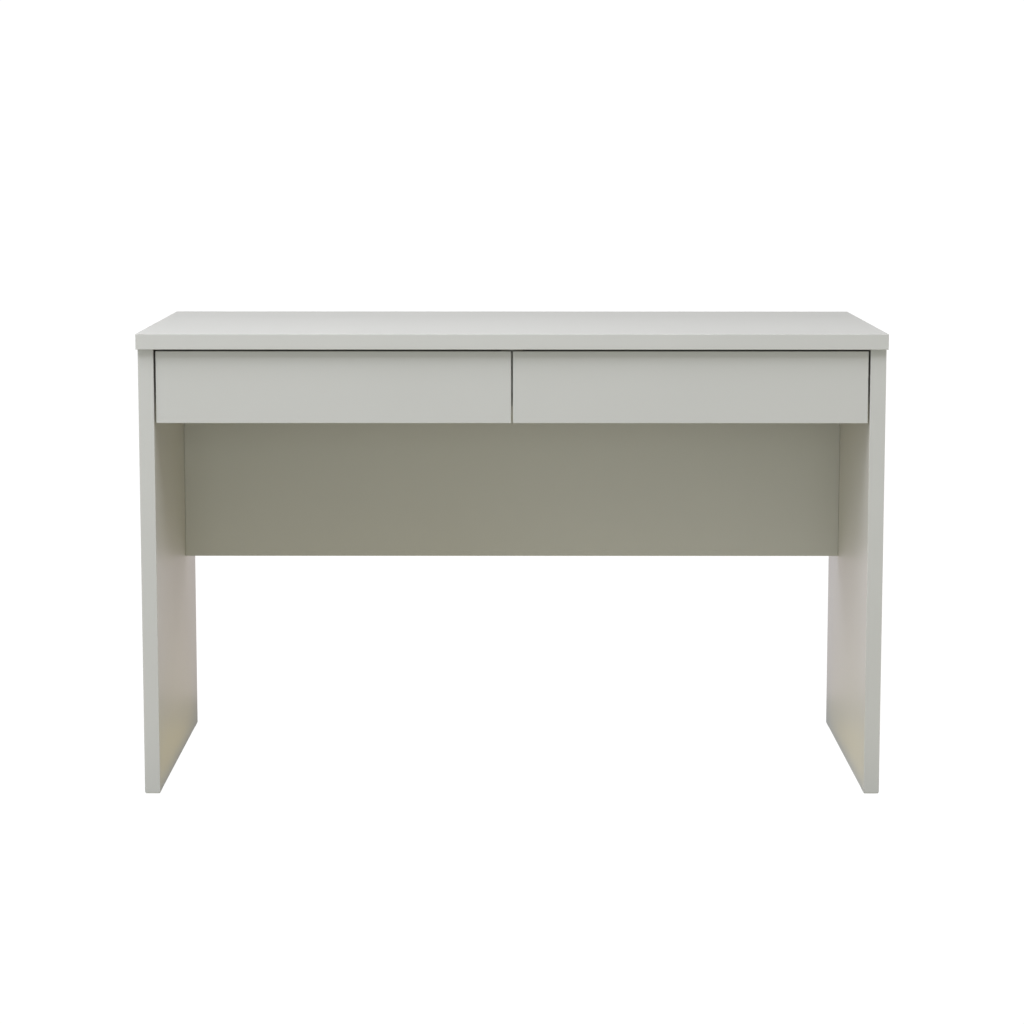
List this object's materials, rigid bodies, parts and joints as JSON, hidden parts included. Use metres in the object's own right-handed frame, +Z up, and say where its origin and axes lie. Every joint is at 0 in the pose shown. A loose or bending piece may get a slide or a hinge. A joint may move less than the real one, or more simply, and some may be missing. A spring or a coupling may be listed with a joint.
{
  "type": "writing desk",
  "caption": "Slab-sided writing desk with a thick top, inset drawers without handles on roller runners, and a set-back modesty panel.",
  "frame": {"origin": "on the floor under the middle of the desk", "axes": "+X to the user's right along the width, -Y towards the user (the drawers open that way), +Z up"},
  "size_m": [1.2, 0.57, 0.75],
  "materials": {
    "faced_board": "satin warm grey facing on particle board",
    "edge_band": "satin, matched to the boards",
    "drawer_board": "light foil-wrapped board",
    "drawer_bottom_board": "lacquered hardboard",
    "coated_steel": "epoxy coated",
    "screw_steel": "zinc plated",
    "pin_steel": "zinc plated",
    "cam_zinc": "die-cast zinc",
    "roller_nylon": "moulded nylon",
    "glide_plastic": "moulded",
    "cover_cap": "moulded, matched to the boards",
    "beech": "turned beech"
  },
  "bodies": {
    "desk_frame": {"desk_top": "faced_board", "desk_top_edge_band": "edge_band", "left_side_panel": "faced_board", "left_side_panel_edge_band": "edge_band", "right_side_panel": "faced_board", "right_side_panel_edge_band": "edge_band", "modesty_panel": "faced_board", "modesty_panel_edge_band": "edge_band", "centre_divider": "faced_board", "centre_divider_edge_band": "edge_band", "cam_locks": "cam_zinc", "cam_bolts": "cam_zinc", "cam_cover_caps": "cover_cap", "wood_dowels": "beech", "floor_glides": "glide_plastic", "left_drawer_outer_cabinet_rail": "coated_steel", "left_drawer_inner_cabinet_rail": "coated_steel", "right_drawer_inner_cabinet_rail": "coated_steel", "right_drawer_outer_cabinet_rail": "coated_steel", "cabinet_rail_screws": "screw_steel", "cabinet_roller_pins": "pin_steel"},
    "left_drawer_outer_front_roller": {"left_drawer_outer_front_roller": "roller_nylon"},
    "left_drawer_inner_front_roller": {"left_drawer_inner_front_roller": "roller_nylon"},
    "right_drawer_inner_front_roller": {"right_drawer_inner_front_roller": "roller_nylon"},
    "right_drawer_outer_front_roller": {"right_drawer_outer_front_roller": "roller_nylon"},
    "left_drawer": {"left_drawer_front": "faced_board", "left_drawer_front_edge_band": "edge_band", "left_drawer_outer_side": "drawer_board", "left_drawer_inner_side": "drawer_board", "left_drawer_back": "drawer_board", "left_drawer_bottom": "drawer_bottom_board", "left_drawer_cam_locks": "cam_zinc", "left_drawer_cam_bolts": "cam_zinc", "left_drawer_dowels": "beech", "left_drawer_back_screws": "screw_steel", "left_drawer_outer_rail": "coated_steel", "left_drawer_inner_rail": "coated_steel", "left_drawer_rail_screws": "screw_steel", "left_drawer_roller_pins": "pin_steel"},
    "left_drawer_outer_rear_roller": {"left_drawer_outer_rear_roller": "roller_nylon"},
    "left_drawer_inner_rear_roller": {"left_drawer_inner_rear_roller": "roller_nylon"},
    "right_drawer": {"right_drawer_front": "faced_board", "right_drawer_front_edge_band": "edge_band", "right_drawer_outer_side": "drawer_board", "right_drawer_inner_side": "drawer_board", "right_drawer_back": "drawer_board", "right_drawer_bottom": "drawer_bottom_board", "right_drawer_cam_locks": "cam_zinc", "right_drawer_cam_bolts": "cam_zinc", "right_drawer_dowels": "beech", "right_drawer_back_screws": "screw_steel", "right_drawer_outer_rail": "coated_steel", "right_drawer_inner_rail": "coated_steel", "right_drawer_rail_screws": "screw_steel", "right_drawer_roller_pins": "pin_steel"},
    "right_drawer_outer_rear_roller": {"right_drawer_outer_rear_roller": "roller_nylon"},
    "right_drawer_inner_rear_roller": {"right_drawer_inner_rear_roller": "roller_nylon"}
  },
  "joints": [
    {"name": "left_drawer_slide", "type": "slide", "parent": "desk_frame", "child": "left_drawer", "axis": [0, -1, 0], "range_m": [0, 0.26]},
    {"name": "right_drawer_slide", "type": "slide", "parent": "desk_frame", "child": "right_drawer", "axis": [0, -1, 0], "range_m": [0, 0.26]},
    {"name": "left_drawer_outer_front_roller_turn", "type": "hinge", "parent": "desk_frame", "child": "left_drawer_outer_front_roller", "pos_m": [-0.5676, -0.2395, 0.6478], "axis": [1, 0, 0], "continuous": true},
    {"name": "left_drawer_inner_front_roller_turn", "type": "hinge", "parent": "desk_frame", "child": "left_drawer_inner_front_roller", "pos_m": [-0.0134, -0.2395, 0.6478], "axis": [1, 0, 0], "continuous": true},
    {"name": "right_drawer_inner_front_roller_turn", "type": "hinge", "parent": "desk_frame", "child": "right_drawer_inner_front_roller", "pos_m": [0.0134, -0.2395, 0.6478], "axis": [1, 0, 0], "continuous": true},
    {"name": "right_drawer_outer_front_roller_turn", "type": "hinge", "parent": "desk_frame", "child": "right_drawer_outer_front_roller", "pos_m": [0.5676, -0.2395, 0.6478], "axis": [1, 0, 0], "continuous": true},
    {"name": "left_drawer_outer_rear_roller_turn", "type": "hinge", "parent": "left_drawer", "child": "left_drawer_outer_rear_roller", "pos_m": [-0.5659, 0.0825, 0.6456], "axis": [1, 0, 0], "continuous": true},
    {"name": "left_drawer_inner_rear_roller_turn", "type": "hinge", "parent": "left_drawer", "child": "left_drawer_inner_rear_roller", "pos_m": [-0.0151, 0.0825, 0.6456], "axis": [1, 0, 0], "continuous": true},
    {"name": "right_drawer_outer_rear_roller_turn", "type": "hinge", "parent": "right_drawer", "child": "right_drawer_outer_rear_roller", "pos_m": [0.5659, 0.0825, 0.6456], "axis": [1, 0, 0], "continuous": true},
    {"name": "right_drawer_inner_rear_roller_turn", "type": "hinge", "parent": "right_drawer", "child": "right_drawer_inner_rear_roller", "pos_m": [0.0151, 0.0825, 0.6456], "axis": [1, 0, 0], "continuous": true}
  ],
  "couplings": [
    {"joint": "left_drawer_outer_front_roller_turn", "follows": "left_drawer_slide", "rad_per_m": 114.94},
    {"joint": "left_drawer_inner_front_roller_turn", "follows": "left_drawer_slide", "rad_per_m": 114.94},
    {"joint": "right_drawer_inner_front_roller_turn", "follows": "right_drawer_slide", "rad_per_m": 114.94},
    {"joint": "right_drawer_outer_front_roller_turn", "follows": "right_drawer_slide", "rad_per_m": 114.94},
    {"joint": "left_drawer_outer_rear_roller_turn", "follows": "left_drawer_slide", "rad_per_m": 114.94},
    {"joint": "left_drawer_inner_rear_roller_turn", "follows": "left_drawer_slide", "rad_per_m": 114.94},
    {"joint": "right_drawer_outer_rear_roller_turn", "follows": "right_drawer_slide", "rad_per_m": 114.94},
    {"joint": "right_drawer_inner_rear_roller_turn", "follows": "right_drawer_slide", "rad_per_m": 114.94}
  ]
}
